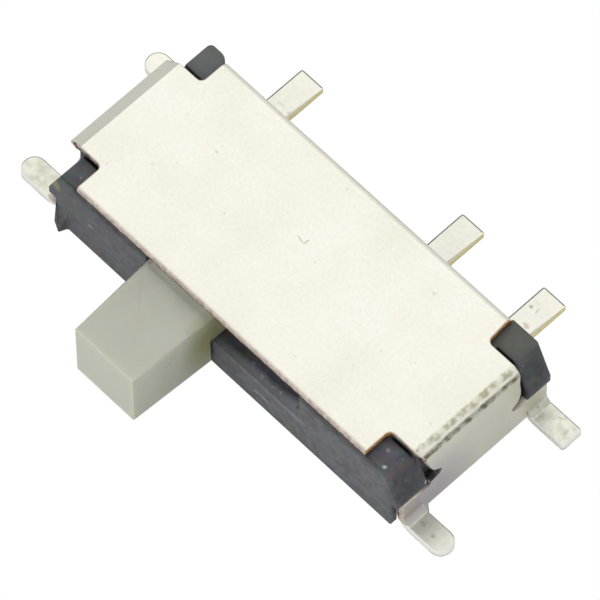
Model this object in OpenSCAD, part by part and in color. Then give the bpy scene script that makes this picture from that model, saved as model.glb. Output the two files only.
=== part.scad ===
// Side-actuated slide switch for surface mounting, one pole, two positions.
// Millimetres. X runs along the switch, the knob points to -Y, the leads to +Y,
// and the board's surface is the plane z = 0. The origin is at the middle of the body.
// The slider stands at its left end, as modelled, and slides towards +X.

/* [Body] */
// Length of the cover over its bent ends
body_len = 6.5; // [6.3:0.1:7.2]
// Depth of the cover, front edge to back flange
body_depth = 2.7; // [2.6:0.1:3.2]
// Height of the cover above the board
body_h = 1.45; // [1.35:0.05:1.8]

/* [Cover sheet] */
// Thickness of the plated sheet
sheet_t = 0.12; // [0.1:0.01:0.12]
// Outer radius of the bend at the left end
left_bend_r = 0.23; // [0.15:0.01:0.3]
// Outer radius of the bend at the right end
right_bend_r = 0.13; // [0.13:0.01:0.3]
// Outer radius of the bend along the back
back_bend_r = 0.13; // [0.13:0.01:0.2]
// Height of the back flange below the top face
back_flange_h = 1; // [0.5:0.05:1.02]
// Length along X that each corner notch takes from the cover
notch_len = 0.59; // [0.45:0.01:0.7]
// Width along Y that each corner notch takes from the cover
notch_w = 0.46; // [0.35:0.01:0.55]
// Radius of a notch's inner corner
notch_r = 0.08; // [0.02:0.01:0.15]
// Height of the shoulders of the end walls above the board
shoulder_h = 0.56; // [0.5:0.01:0.6]
// Height of the relief slot above a shoulder
relief_gap = 0.1; // [0.06:0.01:0.14]
// How far the front relief reaches in from the notch
front_relief = 0.3; // [0.1:0.01:0.4]
// How far the back relief reaches in from the notch
back_relief = 0.1; // [0.05:0.01:0.3]
// Height over which a relief tapers out to the notch
relief_rise = 0.5; // [0.3:0.05:0.55]
// Gap between the end walls and the board
end_wall_gap = 0.05; // [0.02:0.01:0.1]

/* [Cover feet] */
// Width of each foot
foot_w = 0.36; // [0.3:0.005:0.45]
// How far a foot reaches past the end wall
foot_reach = 0.73; // [0.6:0.01:1]
// Distance between the middles of the front and back feet
foot_pitch = 2.23; // [2:0.01:2.3]
// How far the pair of feet stands towards the back
foot_shift = 0.06; // [0:0.005:0.08]
// Inner radius of the bend from leg to foot
foot_bend_r = 0.12; // [0.04:0.01:0.16]
// Radius of the web beside a front leg
front_web_r = 0.24; // [0.1:0.01:0.3]
// Radius of the web beside a back leg
back_web_r = 0.05; // [0.02:0.01:0.1]
// Corner radius of the one square-ended foot
square_tip_r = 0.07; // [0.02:0.01:0.15]
// How much shorter that foot is
square_foot_cut = 0.08; // [0:0.01:0.12]

/* [Base moulding] */
// Clearance between the base and the cover
cover_fit = 0.02; // [0.01:0.01:0.04]
// How far the front wall is set back from the cover's front edge
front_setback = 0.025; // [0:0.005:0.05]
// How far the back posts stand out past the cover
post_proud = 0.05; // [0:0.01:0.1]
// Clearance between a post and its notch
post_gap = 0.04; // [0.02:0.01:0.06]
// How far a post's top is drawn in from its widest point
post_slant = 0.25; // [0.1:0.01:0.3]
// Height of the upright face under a post's slant
post_foot_h = 0.13; // [0.05:0.01:0.2]
// Thickness of the front wall
front_wall_t = 0.285; // [0.2:0.005:0.3]
// Thickness of the back wall above its ledge
back_wall_t = 0.28; // [0.2:0.01:0.35]
// Thickness of the end walls
end_wall_t = 0.5; // [0.3:0.05:0.6]
// Height of the cavity's floor above the board
floor_h = 0.3; // [0.25:0.01:0.34]
// Height of the sill that the knob's neck passes over
sill_h = 0.6; // [0.56:0.01:0.7]
// Height of the two rails that the slider runs on
rail_h = 0.06; // [0.04:0.01:0.06]
// Width of each rail
rail_w = 0.25; // [0.2:0.01:0.3]
// Thickness of the rib that stands before each leg
leg_rib_t = 0.13; // [0.08:0.01:0.2]
// Width of the recess behind each leg
leg_recess_w = 0.55; // [0.4:0.01:0.6]
// Depth of the recess behind each leg
leg_recess_d = 0.16; // [0.05:0.01:0.25]
// Width of the gate stub at the left front corner
stub_w = 0.25; // [0.1:0.01:0.3]
// How far the gate stub stands out at its foot
stub_proud = 0.13; // [0.05:0.01:0.15]
// Height of the gate stub
stub_h = 0.48; // [0.2:0.02:0.5]
// How much wider the front posts are at their foot
post_spread = 0.14; // [0.05:0.01:0.16]
// Height above the posts' foot up to which they keep that width
post_spread_h = 0.28; // [0.1:0.01:0.35]

/* [Locating pegs] */
// Diameter of the two pegs under the base
peg_d = 0.75; // [0.6:0.05:0.9]
// Length of a peg below the board's surface
peg_len = 0.5; // [0.4:0.05:0.8]
// Distance between the pegs
peg_pitch = 3; // [2.6:0.1:3.4]
// Chamfer at a peg's tip
peg_chamfer = 0.1; // [0.05:0.01:0.15]

/* [Terminals] */
// Thickness of the terminals
lead_t = 0.12; // [0.1:0.01:0.14]
// Width of the leads
lead_w = 0.37; // [0.3:0.01:0.42]
// Distance of the lead tips from the middle of the body
lead_reach = 2.48; // [2.3:0.02:2.8]
// Position along X of the left lead
left_lead_x = -2.25; // [-2.3:0.05:-2.2]
// Position along X of the common lead
common_lead_x = 0.75; // [0.65:0.05:0.75]
// Position along X of the right lead
right_lead_x = 2.25; // [2.2:0.05:2.3]
// Distance from the middle at which a lead starts down from its pad, inside the base
joggle_start = 0.65; // [0.6:0.01:0.7]
// Distance from the middle at which a lead has come down to the board
joggle_end = 0.85; // [0.8:0.01:0.9]
// How far forward the contact pads reach from the middle
pad_front = 0.5; // [0.4:0.05:0.6]
// How far back the contact pads reach from the middle
pad_back = 0.6; // [0.4:0.05:0.65]
// Length along X of each outer contact pad
outer_pad_len = 1.3; // [1.2:0.05:1.35]
// How far the common pad reaches to the left of the middle
common_pad_left = 0.45; // [0.3:0.05:0.5]

/* [Slider] */
// Travel of the slider
travel = 1.5; // [1:0.1:1.5]
// Width of the knob at its tip
knob_tip_w = 1.06; // [0.8:0.02:1.2]
// Width of the knob at its root, and of its neck
knob_root_w = 1.2; // [1:0.02:1.3]
// Height of the knob
knob_h = 1.085; // [0.8:0.005:1.1]
// Gap between the knob and the board
knob_lift = 0.115; // [0.08:0.005:0.2]
// Distance of the knob's tip from the middle of the body
knob_reach = 2.68; // [2.4:0.02:3.2]
// Running clearance between the slider and the base
slide_fit = 0.04; // [0.02:0.01:0.05]
// Clearance between the neck and each end of its slot
stop_fit = 0.08; // [0.04:0.01:0.1]
// Vertical clearance of the slider on its rails
rail_fit = 0.02; // [0.01:0.01:0.03]
// Length of the carriage's lower flange
flange_len = 2.6; // [2.4:0.05:3]
// Height of the carriage's lower flange
flange_h = 0.2; // [0.15:0.01:0.22]
// How far the flange is set back from the carriage's front and back
flange_inset = 0.12; // [0:0.01:0.15]

/* [Contact spring] */
// Thickness of the moving contact
spring_t = 0.06; // [0.05:0.01:0.08]
// Width of the moving contact
spring_w = 0.6; // [0.4:0.05:0.7]
// Distance between its two contact bumps
bump_pitch = 1.5; // [1.4:0.05:1.5]
// Length of the strip past each bump
spring_tail = 0.12; // [0.06:0.02:0.14]
// Outer radius of each bump
bump_r = 0.12; // [0.1:0.01:0.13]
// Clearance between the bumps and the pads
contact_fit = 0.01; // [0.01:0.01:0.03]
// Diameter of the boss that holds the contact
boss_d = 0.3; // [0.2:0.02:0.4]
// Clearance around the boss
boss_fit = 0.02; // [0.01:0.01:0.03]
// Clearance around the contact in its pocket
pocket_fit = 0.05; // [0.02:0.01:0.08]

/* [Hidden] */
$fn = 64;

plated_steel = [0.95, 0.95, 0.9];
black_resin = [0.3, 0.3, 0.32];
tinned_brass = [0.93, 0.93, 0.9];
natural_resin = [0.76, 0.77, 0.7];
phosphor_bronze = [0.8, 0.62, 0.4];

end_x = body_len / 2;
front_y = -body_depth / 2;
back_y = body_depth / 2;
notch_x = end_x - notch_len;
notch_y = body_depth / 2 - notch_w;
far = body_len;

front_foot_y = foot_shift - foot_pitch / 2;
back_foot_y = foot_shift + foot_pitch / 2;
leg_front_y = front_foot_y - foot_w / 2;
leg_back_y = back_foot_y + foot_w / 2;
leg_bend_z = sheet_t + foot_bend_r;
foot_x = end_x + foot_bend_r;
tip_x = end_x + foot_reach;
square_tip_x = tip_x - square_foot_cut;
relief_z = shoulder_h + relief_gap;

base_front_y = front_y + front_setback;
base_top_z = body_h - sheet_t - cover_fit;
base_end_x = end_x - sheet_t - cover_fit;
base_back_y = back_y - sheet_t - cover_fit;
ledge_back_y = back_y - cover_fit;
ledge_z = body_h - back_flange_h - cover_fit;
post_back_y = back_y + post_proud;
post_x = end_x - cover_fit;
post_z = shoulder_h + cover_fit;
corner_x = notch_x + post_gap;
corner_y = notch_y + post_gap;

cavity_x = base_end_x - end_wall_t;
cavity_front_y = base_front_y + front_wall_t;
cavity_back_y = base_back_y - back_wall_t;
slot_x = travel / 2 + knob_root_w / 2 + stop_fit;

rest_x = -travel / 2;
slider_bottom_z = floor_h + rail_h + rail_fit;
slider_top_z = base_top_z - slide_fit;
knob_top_z = knob_lift + knob_h;
knob_back_y = base_front_y - slide_fit;
carriage_front_y = cavity_front_y + slide_fit;
carriage_back_y = cavity_back_y - slide_fit;

bump_z = floor_h + contact_fit + bump_r;
plate_top_z = bump_z + spring_t;
spring_len = bump_pitch + 2 * (bump_r + spring_tail);

// Extrudes a profile drawn in X and Z from y0 to y1.
module along_y(y0, y1) {
  translate([0, y1, 0])
    rotate([90, 0, 0])
      linear_extrude(y1 - y0)
        children();
}

// Extrudes a profile drawn in Y and Z from x0 to x1.
module along_x(x0, x1) {
  translate([x0, 0, 0])
    rotate([90, 0, 90])
      linear_extrude(x1 - x0)
        children();
}

// Extrudes a plan drawn in X and Y from z0 to z1.
module along_z(z0, z1) {
  translate([0, 0, z0])
    linear_extrude(z1 - z0)
      children();
}

// A rectangle between two corners.
module span(a, b) {
  translate(a)
    square(b - a);
}

// A quarter of a ring around c; sx and sy say in which quadrant it lies.
module quarter_ring(c, r_out, r_in, sx, sy) {
  translate(c)
    intersection() {
      difference() {
        circle(r_out);
        circle(r_in);
      }
      quadrant(sx, sy, r_out);
    }
}

// The square of side r in the quadrant that sx and sy name.
module quadrant(sx, sy, r) {
  translate([sx < 0 ? -r : 0, sy < 0 ? -r : 0])
    square(r);
}

// Plan of the flat top: it stops at the bends and has its corner notches.
module top_plan() {
  difference() {
    span([-end_x + left_bend_r, front_y], [end_x - right_bend_r, back_y - back_bend_r]);
    corner_notches();
  }
}

// Plan of the four corner notches, each with a rounded inner corner.
module corner_notches() {
  for (sx = [-1, 1], sy = [-1, 1])
    corner_notch(sx, sy);
}

// One corner notch, in the quadrant that sx and sy name.
module corner_notch(sx, sy) {
  mirror([sx < 0 ? 1 : 0, 0])
    mirror([0, sy < 0 ? 1 : 0]) {
      span([notch_x + notch_r, notch_y], [far, far]);
      span([notch_x, notch_y + notch_r], [far, far]);
      translate([notch_x + notch_r, notch_y + notch_r])
        circle(notch_r);
    }
}

// Outline in Y and Z of an end wall, with its shoulders, reliefs and legs.
module end_wall_outline(bend_r) {
  difference() {
    span([leg_front_y, end_wall_gap], [leg_back_y, body_h - bend_r]);
    relief(-1, front_relief);
    relief(1, back_relief);
    span([leg_front_y, 0], [leg_front_y + foot_w + front_web_r, leg_bend_z]);
    span([leg_back_y - foot_w - back_web_r, 0], [leg_back_y, leg_bend_z]);
  }
}

// What is cut away beside the end wall above one shoulder.
module relief(side, reach) {
  mirror([side < 0 ? 1 : 0, 0]) {
    polygon([
      [far, shoulder_h],
      [notch_y - reach, shoulder_h],
      [notch_y - reach, relief_z],
      [notch_y, relief_z + relief_rise],
      [notch_y, body_h],
      [far, body_h]
    ]);
    translate([notch_y - reach, shoulder_h + relief_gap / 2])
      circle(d = relief_gap);
  }
}

// Section in X and Z of a leg's bend and the foot that follows it.
module foot_section() {
  quarter_ring([foot_x, leg_bend_z], sheet_t + foot_bend_r, foot_bend_r, -1, -1);
  span([foot_x, 0], [tip_x, sheet_t]);
}

// Plan of one foot: its end round or square, and a web of radius web_r on its inner side.
module foot_plan(round_tip, web_r) {
  if (round_tip) {
    span([0, -foot_w / 2], [tip_x - foot_w / 2, foot_w / 2]);
    translate([tip_x - foot_w / 2, 0])
      circle(d = foot_w);
  } else {
    span([0, -foot_w / 2], [square_tip_x - square_tip_r, foot_w / 2]);
    span([0, -foot_w / 2 + square_tip_r], [square_tip_x, foot_w / 2 - square_tip_r]);
    for (s = [-1, 1])
      translate([square_tip_x - square_tip_r, s * (foot_w / 2 - square_tip_r)])
        circle(square_tip_r);
  }
  difference() {
    span([0, foot_w / 2], [end_x + web_r, foot_w / 2 + web_r]);
    translate([end_x + web_r, foot_w / 2 + web_r])
      circle(web_r);
  }
}

// A foot at y; side is -1 where its web lies towards -Y.
module foot(y, side, round_tip, web_r) {
  intersection() {
    along_y(y - foot_w / 2 - web_r, y + foot_w / 2 + web_r)
      foot_section();
    translate([0, y, 0])
      mirror([0, side < 0 ? 1 : 0, 0])
        along_z(0, leg_bend_z)
          foot_plan(round_tip, web_r);
  }
}

// One bent end of the cover, on the +X side.
module cover_end(bend_r, square_back_foot) {
  difference() {
    along_y(-notch_y, notch_y)
      quarter_ring([end_x - bend_r, body_h - bend_r], bend_r, bend_r - sheet_t, 1, 1);
    along_z(0, body_h)
      corner_notches();
  }
  along_x(end_x - sheet_t, end_x)
    end_wall_outline(bend_r);
  foot(front_foot_y, 1, true, front_web_r);
  foot(back_foot_y, -1, !square_back_foot, back_web_r);
}

// The back flange, between the back notches.
module back_flange() {
  along_x(-notch_x, notch_x) {
    quarter_ring([back_y - back_bend_r, body_h - back_bend_r], back_bend_r, back_bend_r - sheet_t, 1, 1);
    span([back_y - sheet_t, body_h - back_flange_h], [back_y, body_h - back_bend_r]);
  }
}

module cover() {
  color(plated_steel) {
    along_z(body_h - sheet_t, body_h)
      top_plan();
    back_flange();
    cover_end(right_bend_r, true);
    mirror([1, 0, 0])
      cover_end(left_bend_r, false);
  }
}

// Section in X and Z of one corner post, on the +X side.
module post_section() {
  polygon([
    [corner_x, post_z],
    [post_x, post_z],
    [post_x, post_z + post_foot_h],
    [post_x - post_slant, base_top_z],
    [corner_x, base_top_z]
  ]);
}

// The flank by which a front post reaches towards the end wall's relief, on the +X side.
module post_flank() {
  intersection() {
    along_y(-corner_y - post_spread, -corner_y + post_spread)
      post_section();
    along_x(corner_x, post_x)
      polygon([
        [-corner_y - post_spread, post_z],
        [-corner_y + post_spread, post_z],
        [-corner_y + post_spread, post_z + post_spread_h],
        [-corner_y, post_z + 2 * post_spread_h],
        [-corner_y - post_spread, post_z + 2 * post_spread_h]
      ]);
  }
}

// The posts that fill the notches of one end, on the +X side.
module corner_posts() {
  along_y(base_front_y, -corner_y)
    post_section();
  post_flank();
  along_y(corner_y, post_back_y)
    post_section();
}

// The block between the cover's end walls, without the corners where the posts stand.
module base_block() {
  difference() {
    along_x(-base_end_x, base_end_x) {
      span([base_front_y, 0], [base_back_y, base_top_z]);
      span([base_front_y, 0], [ledge_back_y, ledge_z]);
    }
    for (sx = [-1, 1], sy = [-1, 1])
      along_z(post_z, body_h)
        translate([sx * corner_x, sy * corner_y])
          quadrant(sx, sy, far);
    leg_recesses();
    mirror([1, 0, 0])
      leg_recesses();
  }
}

// The two recesses behind the legs of one end, on the +X side.
module leg_recesses() {
  recess_x = base_end_x - leg_recess_d;
  along_z(0, post_z)
    for (y = [base_front_y + leg_rib_t, ledge_back_y - leg_rib_t - leg_recess_w])
      span([recess_x, y], [far, y + leg_recess_w]);
}

// The stub left by the mould's gate at the foot of the left front corner.
module gate_stub() {
  intersection() {
    along_x(-base_end_x, -base_end_x + stub_w)
      polygon([[base_front_y, 0], [base_front_y, stub_h], [base_front_y - stub_proud, 0]]);
    along_z(0, stub_h)
      polygon([
        [-base_end_x, base_front_y],
        [-base_end_x, base_front_y - stub_proud / 3],
        [-base_end_x + stub_w * 2 / 3, base_front_y - stub_proud],
        [-base_end_x + stub_w, base_front_y]
      ]);
  }
}

// One locating peg, with a chamfered tip.
module peg() {
  translate([0, 0, -peg_len + peg_chamfer])
    cylinder(d = peg_d, h = peg_len - peg_chamfer);
  translate([0, 0, -peg_len])
    cylinder(d1 = peg_d - 2 * peg_chamfer, d2 = peg_d, h = peg_chamfer);
}

module base() {
  color(black_resin)
    difference() {
      union() {
        base_block();
        corner_posts();
        mirror([1, 0, 0])
          corner_posts();
        gate_stub();
        for (s = [-1, 1])
          translate([s * peg_pitch / 2, 0, 0])
            peg();
      }
      cavity();
      along_y(base_front_y - stub_proud, cavity_front_y)
        span([-slot_x, sill_h], [slot_x, body_h]);
      terminal_bodies();
    }
}

// The cavity that the carriage runs in; its two rails stand on the floor.
module cavity() {
  along_x(-cavity_x, cavity_x)
    difference() {
      span([cavity_front_y, floor_h], [cavity_back_y, body_h]);
      span([cavity_front_y, floor_h], [cavity_front_y + rail_w, floor_h + rail_h]);
      span([cavity_back_y - rail_w, floor_h], [cavity_back_y, floor_h + rail_h]);
    }
}

// Section in Y and Z of a lead: it steps down inside the base and leaves it on the board.
module lead_section() {
  polygon([
    [pad_back, floor_h - lead_t],
    [joggle_start, floor_h - lead_t],
    [joggle_end, 0],
    [lead_reach, 0],
    [lead_reach, lead_t],
    [joggle_end + lead_t / 3, lead_t],
    [joggle_start + lead_t / 3, floor_h],
    [pad_back, floor_h]
  ]);
}

// A terminal: its contact pad from x0 to x1, and its lead at x.
module terminal(x, x0, x1) {
  along_z(floor_h - lead_t, floor_h)
    span([x0, -pad_front], [x1, pad_back]);
  along_x(x - lead_w / 2, x + lead_w / 2)
    lead_section();
}

module left_terminal_body() {
  left_edge = left_lead_x - lead_w / 2;
  terminal(left_lead_x, left_edge, left_edge + outer_pad_len);
}

module common_terminal_body() {
  terminal(common_lead_x, -common_pad_left, common_lead_x + lead_w / 2);
}

module right_terminal_body() {
  right_edge = right_lead_x + lead_w / 2;
  terminal(right_lead_x, right_edge - outer_pad_len, right_edge);
}

module terminal_bodies() {
  left_terminal_body();
  common_terminal_body();
  right_terminal_body();
}

module left_terminal() {
  color(tinned_brass)
    left_terminal_body();
}

module common_terminal() {
  color(tinned_brass)
    common_terminal_body();
}

module right_terminal() {
  color(tinned_brass)
    right_terminal_body();
}

// Plan of the knob: it narrows towards its tip.
module knob_plan() {
  polygon([
    [-knob_root_w / 2, knob_back_y],
    [-knob_tip_w / 2, -knob_reach],
    [knob_tip_w / 2, -knob_reach],
    [knob_root_w / 2, knob_back_y]
  ]);
}

// The slider about its own middle: knob, neck over the sill, and carriage.
module slider_body() {
  along_z(knob_lift, knob_top_z)
    knob_plan();
  along_y(knob_back_y, carriage_front_y)
    span([-knob_root_w / 2, sill_h + slide_fit], [knob_root_w / 2, knob_top_z]);
  difference() {
    union() {
      along_y(carriage_front_y, carriage_back_y)
        span([-knob_root_w / 2, slider_bottom_z], [knob_root_w / 2, slider_top_z]);
      along_y(carriage_front_y + flange_inset, carriage_back_y - flange_inset)
        span([-flange_len / 2, slider_bottom_z], [flange_len / 2, slider_bottom_z + flange_h]);
    }
    pocket();
  }
  translate([0, 0, bump_z - spring_t / 2])
    cylinder(d = boss_d, h = plate_top_z - bump_z + spring_t);
}

// The pocket under the carriage that holds the contact spring.
module pocket() {
  half_x = spring_len / 2 + pocket_fit;
  half_y = spring_w / 2 + pocket_fit;
  along_z(slider_bottom_z - pocket_fit, plate_top_z)
    span([-half_x, -half_y], [half_x, half_y]);
}

module slider() {
  color(natural_resin)
    translate([rest_x, 0, 0])
      slider_body();
}

// Section in X and Z of the contact spring: a flat strip with two hollow bumps.
module spring_section() {
  bump_x = bump_pitch / 2;
  difference() {
    span([-spring_len / 2, bump_z], [spring_len / 2, plate_top_z]);
    for (s = [-1, 1])
      span([s * bump_x - bump_r + spring_t, bump_z], [s * bump_x + bump_r - spring_t, plate_top_z]);
  }
  for (s = [-1, 1], side = [-1, 1])
    quarter_ring([s * bump_x, bump_z], bump_r, bump_r - spring_t, side, -1);
}

module contact_spring() {
  color(phosphor_bronze)
    translate([rest_x, 0, 0])
      difference() {
        along_y(-spring_w / 2, spring_w / 2)
          spring_section();
        translate([0, 0, bump_z - spring_t])
          cylinder(d = boss_d + 2 * boss_fit, h = 3 * spring_t);
      }
}

cover();
base();
left_terminal();
common_terminal();
right_terminal();
slider();
contact_spring();
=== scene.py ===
"""Side-actuated slide switch: its finished looks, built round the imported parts."""

import logging
import math
from collections.abc import Callable, Iterable
from dataclasses import dataclass, field
from enum import Enum
from typing import Self

import bmesh
import bpy
from mathutils import Matrix, Vector


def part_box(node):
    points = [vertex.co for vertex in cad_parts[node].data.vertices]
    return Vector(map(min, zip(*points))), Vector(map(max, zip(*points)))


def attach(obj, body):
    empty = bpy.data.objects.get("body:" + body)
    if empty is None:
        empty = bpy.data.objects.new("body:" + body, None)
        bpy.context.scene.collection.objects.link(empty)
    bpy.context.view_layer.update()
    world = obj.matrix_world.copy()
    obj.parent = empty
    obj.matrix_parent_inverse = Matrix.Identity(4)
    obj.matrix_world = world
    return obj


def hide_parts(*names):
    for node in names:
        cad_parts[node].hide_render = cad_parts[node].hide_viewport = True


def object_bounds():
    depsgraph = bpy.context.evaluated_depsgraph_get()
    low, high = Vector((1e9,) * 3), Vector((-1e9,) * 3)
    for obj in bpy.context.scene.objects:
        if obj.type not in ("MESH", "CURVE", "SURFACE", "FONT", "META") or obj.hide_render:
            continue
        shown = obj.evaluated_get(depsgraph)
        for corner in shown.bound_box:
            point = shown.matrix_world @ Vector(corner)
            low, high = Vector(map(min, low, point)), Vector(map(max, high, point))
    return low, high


LOG = logging.getLogger("slide_switch")
MM = 0.001
NEAR = 0.0005
# How far a cutting block reaches past what it cuts, and how far joined blocks reach into each other.
PAST = 1.0
LAP = 0.1

Span = float | tuple[float, float]
Ends = tuple[float, float]
Point = tuple[float, float, float]
Test = Callable[[Vector], bool]
Socket = bpy.types.NodeSocket
Links = dict[str | int, Socket]

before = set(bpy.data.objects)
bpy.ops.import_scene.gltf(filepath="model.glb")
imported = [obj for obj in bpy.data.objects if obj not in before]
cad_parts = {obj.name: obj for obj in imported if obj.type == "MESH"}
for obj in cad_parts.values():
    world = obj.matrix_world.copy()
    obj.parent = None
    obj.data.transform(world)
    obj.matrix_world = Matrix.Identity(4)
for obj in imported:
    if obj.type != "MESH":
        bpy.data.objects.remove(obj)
CAD_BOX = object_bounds()


class Kind(Enum):
    """What a selection is made of."""

    VERT = "VERT"
    EDGE = "EDGE"
    FACE = "FACE"


class Body(Enum):
    """The two bodies that move against each other."""

    HOUSING = "housing"
    CARRIAGE = "carriage"


def node_box(node: str) -> tuple[Vector, Vector]:
    """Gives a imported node's lowest and highest corner, in millimetres."""
    low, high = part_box(node)
    return low / MM, high / MM


def place(x: Span | None = None, y: Span | None = None, z: Span | None = None) -> Test:
    """Makes a test for points by their place.

    Args:
        x: a value or a range along X, or None for any.
        y: the same along Y.
        z: the same along Z.

    Returns:
        A function that says whether a point lies there.
    """
    limits = []
    for axis, span in enumerate((x, y, z)):
        if span is not None:
            low, high = span if isinstance(span, tuple) else (span, span)
            limits.append((axis, low - NEAR, high + NEAR))
    return lambda point: all(low <= point[axis] <= high for axis, low, high in limits)


def clear_bench() -> None:
    """Leaves edit mode and deselects everything."""
    if bpy.context.object is not None and bpy.context.object.mode != "OBJECT":
        bpy.ops.object.mode_set(mode="OBJECT")
    bpy.ops.object.select_all(action="DESELECT")


class Workpiece:
    """One piece on the bench: drawn in millimetres, and brought to metres when it is done."""

    def __init__(self, name: str) -> None:
        """Takes the object that was just added and gives it its name."""
        self.obj = bpy.context.object
        self.obj.name = name
        self.obj.data.name = name

    @classmethod
    def block(cls, name: str, x: Ends, y: Ends, z: Span) -> Self:
        """Starts a block, or a level sheet where one height is given.

        Args:
            name: the piece's name.
            x: where it begins and ends along X.
            y: the same along Y.
            z: the same along Z, or a sheet's height.

        Returns:
            The new piece.
        """
        clear_bench()
        flat = not isinstance(z, tuple)
        low, high = (Vector(corner) for corner in zip(x, y, (z, z) if flat else z))
        add = bpy.ops.mesh.primitive_plane_add if flat else bpy.ops.mesh.primitive_cube_add
        add(size=1, location=(low + high) / 2)
        piece = cls(name)
        piece.obj.scale = (x[1] - x[0], y[1] - y[0], 1) if flat else high - low
        bpy.ops.object.transform_apply(location=True, rotation=True, scale=True)
        return piece

    @classmethod
    def rod(cls, name: str, foot: Point, radius: float, height: float) -> Self:
        """Starts an upright round rod.

        Args:
            name: the piece's name.
            foot: the middle of its lower end.
            radius: its radius.
            height: its height.

        Returns:
            The new piece.
        """
        clear_bench()
        middle = Vector(foot) + Vector((0, 0, height / 2))
        bpy.ops.mesh.primitive_cylinder_add(vertices=64, radius=radius, depth=height, location=middle)
        piece = cls(name)
        bpy.ops.object.transform_apply(location=True, rotation=True, scale=True)
        return piece

    def edit(self, on: bool = True) -> None:
        """Puts this piece alone on the bench, in or out of edit mode.

        Args:
            on: whether it goes into edit mode.
        """
        clear_bench()
        self.obj.select_set(True)
        bpy.context.view_layer.objects.active = self.obj
        if on:
            bpy.ops.object.mode_set(mode="EDIT")

    def pick(self, kind: Kind, test: Test) -> Self:
        """Selects what lies wholly where the test says, and nothing else.

        Args:
            kind: whether to pick vertices, edges or faces.
            test: says of a place whether it counts, and is asked of the corners and the middle.

        Returns:
            The piece itself, so that a step can follow.
        """
        self.edit()
        bpy.ops.mesh.select_mode(type=kind.value)
        bpy.ops.mesh.select_all(action="DESELECT")
        mesh = bmesh.from_edit_mesh(self.obj.data)
        if kind is Kind.VERT:
            for vert in mesh.verts:
                vert.select_set(test(vert.co))
        else:
            for part in mesh.edges if kind is Kind.EDGE else mesh.faces:
                corners = [vert.co for vert in part.verts]
                middle = sum(corners, Vector()) / len(corners)
                part.select_set(all(test(point) for point in (*corners, middle)))
        mesh.select_flush_mode()
        bmesh.update_edit_mesh(self.obj.data)
        return self

    def push(self, by: Point) -> Self:
        """Extrudes what is selected and moves the new end."""
        bpy.ops.mesh.extrude_region_move(TRANSFORM_OT_translate={"value": by})
        return self

    def shift(self, by: Point) -> Self:
        """Moves what is selected."""
        bpy.ops.transform.translate(value=by)
        return self

    def move(self, test: Test, by: Point) -> Self:
        """Moves the corners that lie where the test says."""
        return self.pick(Kind.VERT, test).shift(by)

    def spin(self, centre: Point, axis: Point, degrees: float, steps: int) -> Self:
        """Sweeps the selected edges round an axis, by the right-hand rule, in so many steps."""
        bpy.ops.mesh.spin(steps=steps, angle=-math.radians(degrees), center=centre, axis=axis)
        return self

    def round_off(self, radius: float, steps: int, corners: bool = False, material: int = -1) -> Self:
        """Rounds the selected edges, or the selected corners of a sheet.

        Args:
            radius: how wide the rounding is.
            steps: how many faces it has.
            corners: whether corners are rounded, not edges.
            material: the new faces' material, or -1 for their neighbours'.

        Returns:
            The piece itself.
        """
        affect = "VERTICES" if corners else "EDGES"
        bpy.ops.mesh.bevel(
            offset=radius, segments=steps, affect=affect, clamp_overlap=False, material=material
        )
        return self

    def slice(self, point: Point, normal: Point) -> Self:
        """Scores the whole piece along a plane, without parting it."""
        self.edit()
        bpy.ops.mesh.select_all(action="SELECT")
        bpy.ops.mesh.bisect(plane_co=point, plane_no=normal, threshold=1e-5)
        return self

    def remove_faces(self) -> Self:
        """Deletes the selected faces."""
        bpy.ops.mesh.delete(type="FACE")
        return self

    def clean(self) -> Self:
        """Welds doubled points, joins flat neighbours into one face, and turns all faces outwards."""
        self.edit()
        bpy.ops.mesh.select_all(action="SELECT")
        bpy.ops.mesh.remove_doubles(threshold=1e-4)
        bpy.ops.mesh.dissolve_limited(angle_limit=math.radians(0.5))
        bpy.ops.mesh.normals_make_consistent(inside=False)
        return self

    def modify(self, kind: str, **settings: object) -> Self:
        """Adds a modifier with its settings and applies it.

        Args:
            kind: the modifier's type.
            settings: its values, by property name.

        Returns:
            The piece itself.
        """
        self.edit(on=False)
        modifier = self.obj.modifiers.new(kind.lower(), kind)
        for key, value in settings.items():
            setattr(modifier, key, value)
        bpy.ops.object.modifier_apply(modifier=modifier.name)
        return self

    def combine(self, operation: str, others: Iterable["Workpiece"]) -> Self:
        """Joins or cuts this piece with others, which are used up.

        Args:
            operation: UNION, DIFFERENCE or INTERSECT.
            others: the pieces to combine it with.

        Returns:
            The piece itself.
        """
        for other in others:
            other.edit(on=False)
            self.modify("BOOLEAN", operation=operation, solver="EXACT", object=other.obj)
            bpy.data.objects.remove(other.obj)
        return self

    def soften(self, width: float, steps: int = 2, angle: float = 35, material: int = -1) -> Self:
        """Rounds every edge sharper than an angle by a small width.

        Args:
            width: how wide the rounding is.
            steps: how many faces it has.
            angle: the angle in degrees.
            material: the new faces' material, or -1 for their neighbours'.

        Returns:
            The piece itself.
        """
        return self.modify(
            "BEVEL",
            width=width,
            segments=steps,
            limit_method="ANGLE",
            angle_limit=math.radians(angle),
            miter_outer="MITER_ARC",
            use_clamp_overlap=False,
            material=material,
        )

    def dress(self, *materials: bpy.types.Material) -> Self:
        """Gives the piece its materials, by face index."""
        for material in materials:
            self.obj.data.materials.append(material)
        return self

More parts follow.
